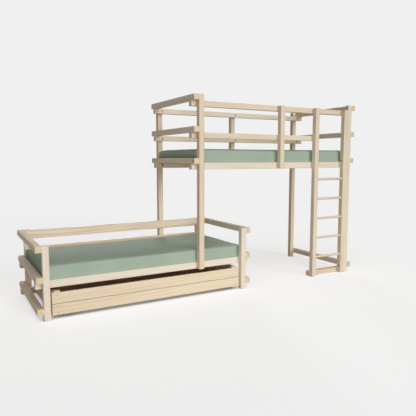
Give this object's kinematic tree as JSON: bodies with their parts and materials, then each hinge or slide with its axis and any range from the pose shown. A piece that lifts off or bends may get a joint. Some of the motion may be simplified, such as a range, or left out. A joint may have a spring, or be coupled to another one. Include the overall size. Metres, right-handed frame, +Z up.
{
  "type": "offset bunk bed",
  "caption": "Offset bunk bed of square pine beams: a low bed with a roll-out drawer, a raised bed in line that overlaps its end, guard rails and a ladder with round rungs.",
  "frame": {"origin": "on the floor under the middle of the whole bed", "axes": "+X along the beds from the lower to the upper one, +Y to the rear, +Z up"},
  "size_m": [3.591, 1.03, 1.955],
  "materials": {
    "pine": "oiled, fine grain",
    "plywood": "sanded",
    "mattress_cover": "woven cover",
    "bronzed_steel": "satin",
    "zinc_steel": "zinc plated",
    "wheel_plastic": "matt"
  },
  "bodies": {
    "frame": {"back_board_screws": "zinc_steel", "end_beam_bolts": "bronzed_steel", "ladder_floor_rail": "pine", "ladder_rungs": "pine", "ladder_stile_left": "pine", "ladder_stile_right": "pine", "lower_back_board_middle": "pine", "lower_back_board_top": "pine", "lower_end_beam_left_bottom": "pine", "lower_end_beam_left_middle": "pine", "lower_end_beam_left_top": "pine", "lower_end_beam_right_bottom": "pine", "lower_end_beam_right_middle": "pine", "lower_end_beam_right_top": "pine", "lower_floor_rail_rear": "pine", "lower_mattress": "mattress_cover", "lower_post_front_left": "pine", "lower_post_front_right": "pine", "lower_post_rear_left": "pine", "lower_post_rear_right": "pine", "lower_side_rail_front": "pine", "lower_side_rail_rear": "pine", "lower_slats": "pine", "rail_bolts": "bronzed_steel", "upper_end_beam_left_base": "pine", "upper_end_beam_left_middle": "pine", "upper_end_beam_left_top": "pine", "upper_end_beam_right_base": "pine", "upper_end_beam_right_floor": "pine", "upper_end_beam_right_middle": "pine", "upper_end_beam_right_top": "pine", "upper_front_rail_base": "pine", "upper_front_rail_middle": "pine", "upper_front_rail_top": "pine", "upper_mattress": "mattress_cover", "upper_middle_post_front": "pine", "upper_middle_post_rear": "pine", "upper_post_front_left": "pine", "upper_post_front_right": "pine", "upper_post_rear_left": "pine", "upper_post_rear_right": "pine", "upper_rear_rail_base": "pine", "upper_rear_rail_middle": "pine", "upper_rear_rail_top": "pine", "upper_slats": "pine"},
    "drawer": {"caster_brackets": "zinc_steel", "drawer_back_boards": "pine", "drawer_bottom": "plywood", "drawer_corner_posts": "pine", "drawer_front_board_lower": "pine", "drawer_front_board_upper": "pine", "drawer_left_boards": "pine", "drawer_right_boards": "pine", "drawer_screws": "bronzed_steel"},
    "caster_wheel_back_left_body": {"caster_wheel_back_left": "wheel_plastic"},
    "caster_wheel_back_right_body": {"caster_wheel_back_right": "wheel_plastic"},
    "caster_wheel_front_left_body": {"caster_wheel_front_left": "wheel_plastic"},
    "caster_wheel_front_right_body": {"caster_wheel_front_right": "wheel_plastic"}
  },
  "joints": [
    {"name": "drawer_slide", "type": "slide", "parent": "frame", "child": "drawer", "axis": [0, -1, 0], "range_m": [0, 0.75]},
    {"name": "caster_wheel_back_left_spin", "type": "hinge", "parent": "drawer", "child": "caster_wheel_back_left_body", "pos_m": [-1.5185, 0.28, 0.025], "axis": [1, 0, 0], "continuous": true},
    {"name": "caster_wheel_back_right_spin", "type": "hinge", "parent": "drawer", "child": "caster_wheel_back_right_body", "pos_m": [0.0535, 0.28, 0.025], "axis": [1, 0, 0], "continuous": true},
    {"name": "caster_wheel_front_left_spin", "type": "hinge", "parent": "drawer", "child": "caster_wheel_front_left_body", "pos_m": [-1.5185, -0.381, 0.025], "axis": [1, 0, 0], "continuous": true},
    {"name": "caster_wheel_front_right_spin", "type": "hinge", "parent": "drawer", "child": "caster_wheel_front_right_body", "pos_m": [0.0535, -0.381, 0.025], "axis": [1, 0, 0], "continuous": true}
  ],
  "couplings": [
    {"joint": "caster_wheel_back_left_spin", "follows": "drawer_slide", "rad_per_m": 40},
    {"joint": "caster_wheel_back_right_spin", "follows": "drawer_slide", "rad_per_m": 40},
    {"joint": "caster_wheel_front_left_spin", "follows": "drawer_slide", "rad_per_m": 40},
    {"joint": "caster_wheel_front_right_spin", "follows": "drawer_slide", "rad_per_m": 40}
  ]
}
